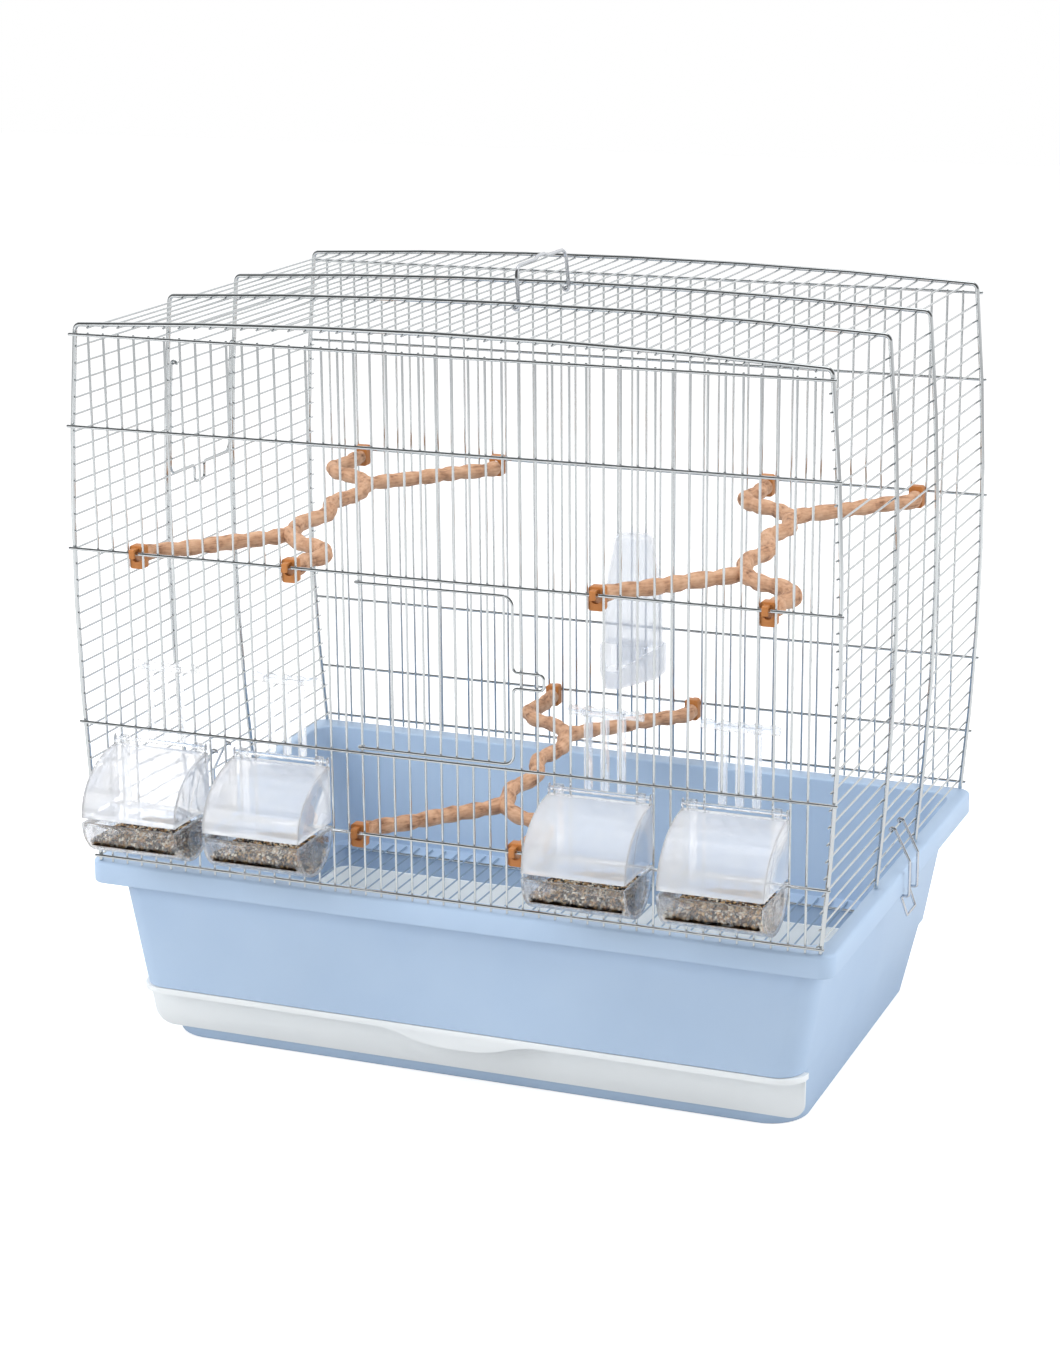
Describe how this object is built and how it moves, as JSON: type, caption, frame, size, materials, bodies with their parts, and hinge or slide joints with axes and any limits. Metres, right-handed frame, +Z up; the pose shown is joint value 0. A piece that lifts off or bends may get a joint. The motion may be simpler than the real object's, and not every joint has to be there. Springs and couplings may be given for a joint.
{
  "type": "bird cage",
  "caption": "Box-shaped wire bird cage on a moulded base with slide-out drawer, floor grille, two doors, carrying handle, side latches, hooded feeders, branch perches and drinker.",
  "frame": {"origin": "middle of the base's flat underside, on the surface that the cage stands on", "axes": "+Z up, -Y out of the front with the drawer and feeders, +X to the right seen from the front"},
  "size_m": [0.5872, 0.4621, 0.5921],
  "materials": {
    "white_coated_wire": "shiny white coated steel wire",
    "zinc_wire": "bright zinc-plated wire",
    "blue_plastic": "satin moulded plastic, pale blue",
    "white_plastic": "satin moulded plastic, off-white",
    "clear_plastic": "clear glossy moulded plastic",
    "milky_plastic": "translucent milky moulded plastic",
    "brown_plastic": "matt orange-brown moulded plastic",
    "perch_wood": "bare sanded branch wood",
    "seed_mix": "loose dry mixed seed"
  },
  "bodies": {
    "cage": {"base_tub": "blue_plastic", "floor_grille": "white_coated_wire", "front_grille": "white_coated_wire", "back_grille": "white_coated_wire", "left_grille": "white_coated_wire", "right_grille": "white_coated_wire", "roof_grille": "white_coated_wire", "feeder_tray_1": "clear_plastic", "feeder_tray_2": "clear_plastic", "feeder_tray_3": "clear_plastic", "feeder_tray_4": "clear_plastic", "seed_bed_1": "seed_mix", "seed_bed_2": "seed_mix", "seed_bed_3": "seed_mix", "seed_bed_4": "seed_mix", "perch_left": "perch_wood", "perch_right": "perch_wood", "perch_low": "perch_wood", "perch_clip_01": "brown_plastic", "perch_clip_02": "brown_plastic", "perch_clip_03": "brown_plastic", "perch_clip_04": "brown_plastic", "perch_clip_05": "brown_plastic", "perch_clip_06": "brown_plastic", "perch_clip_07": "brown_plastic", "perch_clip_08": "brown_plastic", "perch_clip_09": "brown_plastic", "perch_clip_10": "brown_plastic", "perch_clip_11": "brown_plastic", "perch_clip_12": "brown_plastic", "drinker_bottle": "milky_plastic", "drinker_trough": "milky_plastic"},
    "drawer": {"drawer_tray": "white_plastic"},
    "front_door": {"front_door": "white_coated_wire"},
    "side_door": {"side_door": "white_coated_wire"},
    "handle": {"roof_handle": "zinc_wire"},
    "left_latch": {"left_latch": "zinc_wire"},
    "right_latch": {"right_latch": "zinc_wire"},
    "hood_1": {"feeder_hood_1": "clear_plastic"},
    "comb_1": {"feeder_comb_1": "clear_plastic"},
    "hood_2": {"feeder_hood_2": "clear_plastic"},
    "comb_2": {"feeder_comb_2": "clear_plastic"},
    "hood_3": {"feeder_hood_3": "clear_plastic"},
    "comb_3": {"feeder_comb_3": "clear_plastic"},
    "hood_4": {"feeder_hood_4": "clear_plastic"},
    "comb_4": {"feeder_comb_4": "clear_plastic"}
  },
  "joints": [
    {"name": "drawer_slide", "type": "slide", "parent": "cage", "child": "drawer", "axis": [0, -1, 0], "range_m": [0, 0.27]},
    {"name": "front_door_hinge", "type": "hinge", "parent": "cage", "child": "front_door", "pos_m": [-0.061, -0.1974, 0.32555], "axis": [0, 0, -1], "range_deg": [0, 110]},
    {"name": "side_door_hinge", "type": "hinge", "parent": "cage", "child": "side_door", "pos_m": [-0.28111, 0, 0.5021], "axis": [0, 1, 0], "range_deg": [0, 100]},
    {"name": "handle_hinge", "type": "hinge", "parent": "cage", "child": "handle", "pos_m": [0, 0, 0.56025], "axis": [0, 1, 0], "range_deg": [-75, 70]},
    {"name": "left_latch_hinge", "type": "hinge", "parent": "cage", "child": "left_latch", "pos_m": [-0.27908, 0, 0.1823], "axis": [0, 1, 0], "range_deg": [0, 120]},
    {"name": "right_latch_hinge", "type": "hinge", "parent": "cage", "child": "right_latch", "pos_m": [0.27908, 0, 0.1823], "axis": [0, -1, 0], "range_deg": [0, 120]},
    {"name": "hood_1_hinge", "type": "hinge", "parent": "cage", "child": "hood_1", "pos_m": [-0.2196, -0.2047, 0.2525], "axis": [-1, 0, 0], "range_deg": [0, 100]},
    {"name": "comb_1_slide", "type": "slide", "parent": "cage", "child": "comb_1", "axis": [0, 0, -1], "range_m": [0, 0.043]},
    {"name": "hood_2_hinge", "type": "hinge", "parent": "cage", "child": "hood_2", "pos_m": [-0.122, -0.2047, 0.2525], "axis": [-1, 0, 0], "range_deg": [0, 100]},
    {"name": "comb_2_slide", "type": "slide", "parent": "cage", "child": "comb_2", "axis": [0, 0, -1], "range_m": [0, 0.043]},
    {"name": "hood_3_hinge", "type": "hinge", "parent": "cage", "child": "hood_3", "pos_m": [0.122, -0.2047, 0.2525], "axis": [-1, 0, 0], "range_deg": [0, 100]},
    {"name": "comb_3_slide", "type": "slide", "parent": "cage", "child": "comb_3", "axis": [0, 0, -1], "range_m": [0, 0.043]},
    {"name": "hood_4_hinge", "type": "hinge", "parent": "cage", "child": "hood_4", "pos_m": [0.2196, -0.2047, 0.2525], "axis": [-1, 0, 0], "range_deg": [0, 100]},
    {"name": "comb_4_slide", "type": "slide", "parent": "cage", "child": "comb_4", "axis": [0, 0, -1], "range_m": [0, 0.043]}
  ]
}
